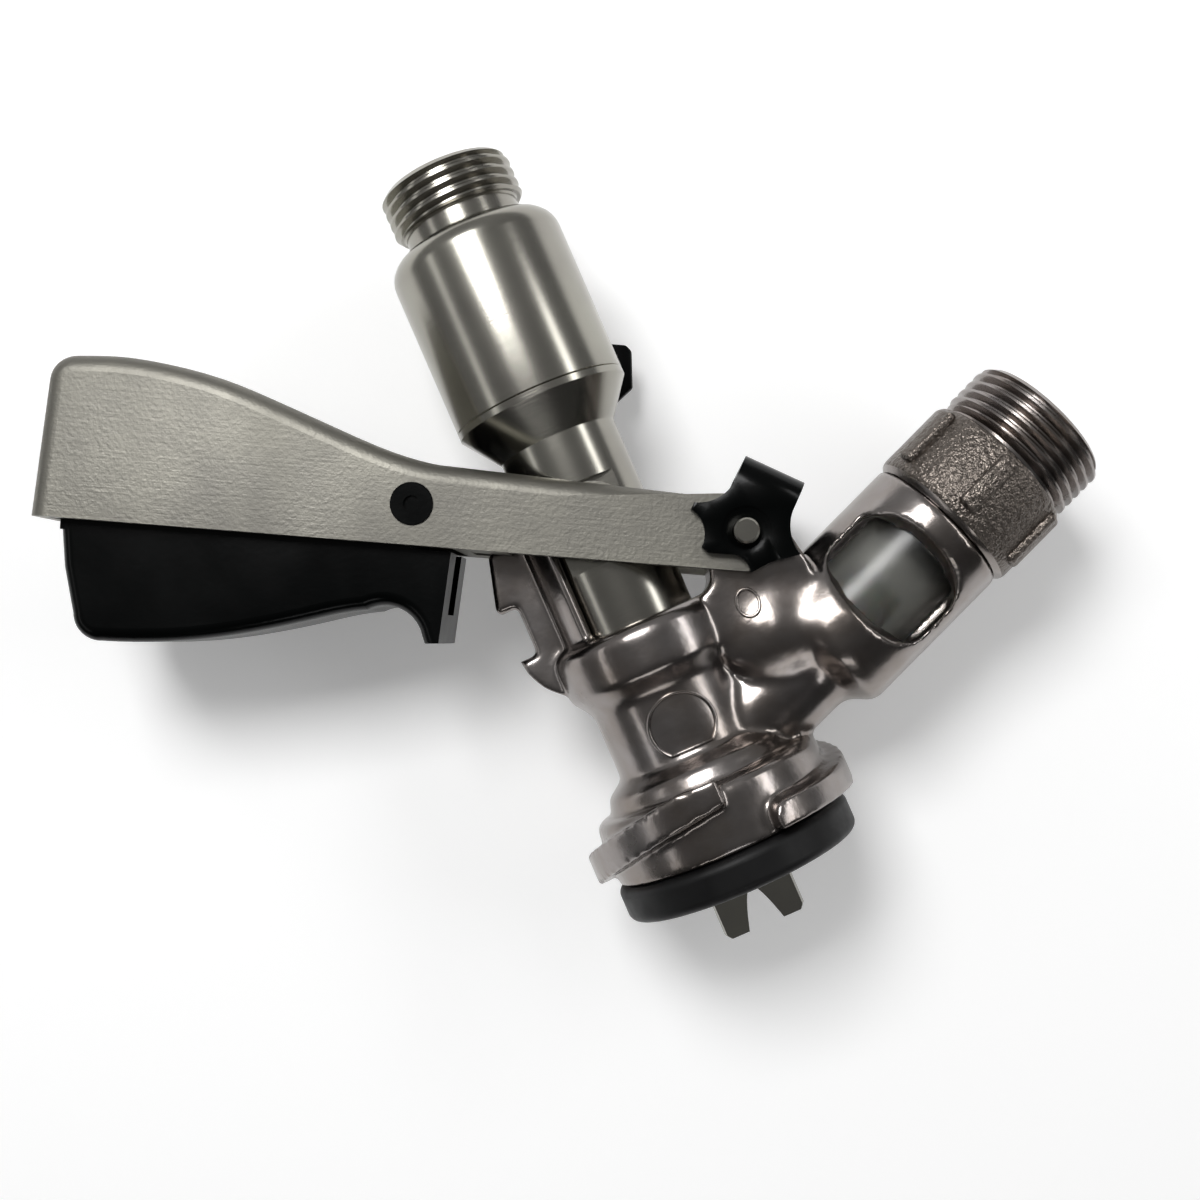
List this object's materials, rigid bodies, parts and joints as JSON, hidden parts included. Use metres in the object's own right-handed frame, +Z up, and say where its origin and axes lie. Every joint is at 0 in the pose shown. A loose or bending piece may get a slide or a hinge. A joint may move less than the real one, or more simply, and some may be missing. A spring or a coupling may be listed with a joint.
{
  "type": "keg coupler",
  "caption": "Lever-handle keg coupler: a bayonet casting with a sight glass on its gas arm, a sliding probe with a threaded outlet, and a latched grip handle.",
  "frame": {"origin": "centre of the keg seal's straight outer wall, on the probe's axis", "axes": "+Z up along the probe, towards the beer outlet; -X towards the raised handle, +X towards the gas arm"},
  "size_m": [0.1653, 0.0464, 0.137],
  "materials": {
    "plated_casting": "dark nickel plate over a brass casting, glossy",
    "turned_steel": "turned stainless steel, bright",
    "satin_steel": "satin cast stainless steel, fine brushing",
    "black_rubber": "matte black rubber",
    "grey_silicone": "pale grey silicone, soft sheen",
    "clear_tube": "clear tube",
    "black_plastic": "black moulded plastic, soft gloss"
  },
  "bodies": {
    "body": {"body_casting": "plated_casting", "keg_seal": "black_rubber", "probe_oring_lower": "black_rubber", "probe_oring_upper": "black_rubber", "sight_glass": "clear_tube", "sight_glass_seal_inner": "black_rubber", "sight_glass_seal_outer": "black_rubber", "gas_check_valve": "grey_silicone", "gas_union": "plated_casting"},
    "probe": {"probe_tube": "turned_steel", "probe_tip_seal": "black_rubber", "outlet_head": "turned_steel", "head_oring": "black_rubber", "ball_seat": "black_plastic", "check_ball": "turned_steel", "ball_stop": "turned_steel"},
    "handle": {"handle_frame": "satin_steel", "hinge_pin": "turned_steel", "guide_pin": "turned_steel", "guide_pin_plugs": "black_plastic", "pin_clip": "black_plastic", "latch_spring": "turned_steel"},
    "latch": {"latch_grip": "black_plastic"}
  },
  "joints": [
    {"name": "handle_lift", "type": "hinge", "parent": "body", "child": "handle", "pos_m": [0.022, 0, 0.049], "axis": [0, -1, 0], "range_deg": [0, 27]},
    {"name": "probe_slide", "type": "slide", "parent": "body", "child": "probe", "axis": [0, 0, -1], "range_m": [0, 0.01113]},
    {"name": "latch_slide", "type": "slide", "parent": "handle", "child": "latch", "axis": [-0.8829, 0, 0.4695], "range_m": [-0.0038, 0], "stiffness_N_per_m": 600, "springref_m": -0.0038}
  ],
  "couplings": [
    {"joint": "probe_slide", "follows": "handle_lift", "m_per_rad": 0.02361}
  ]
}
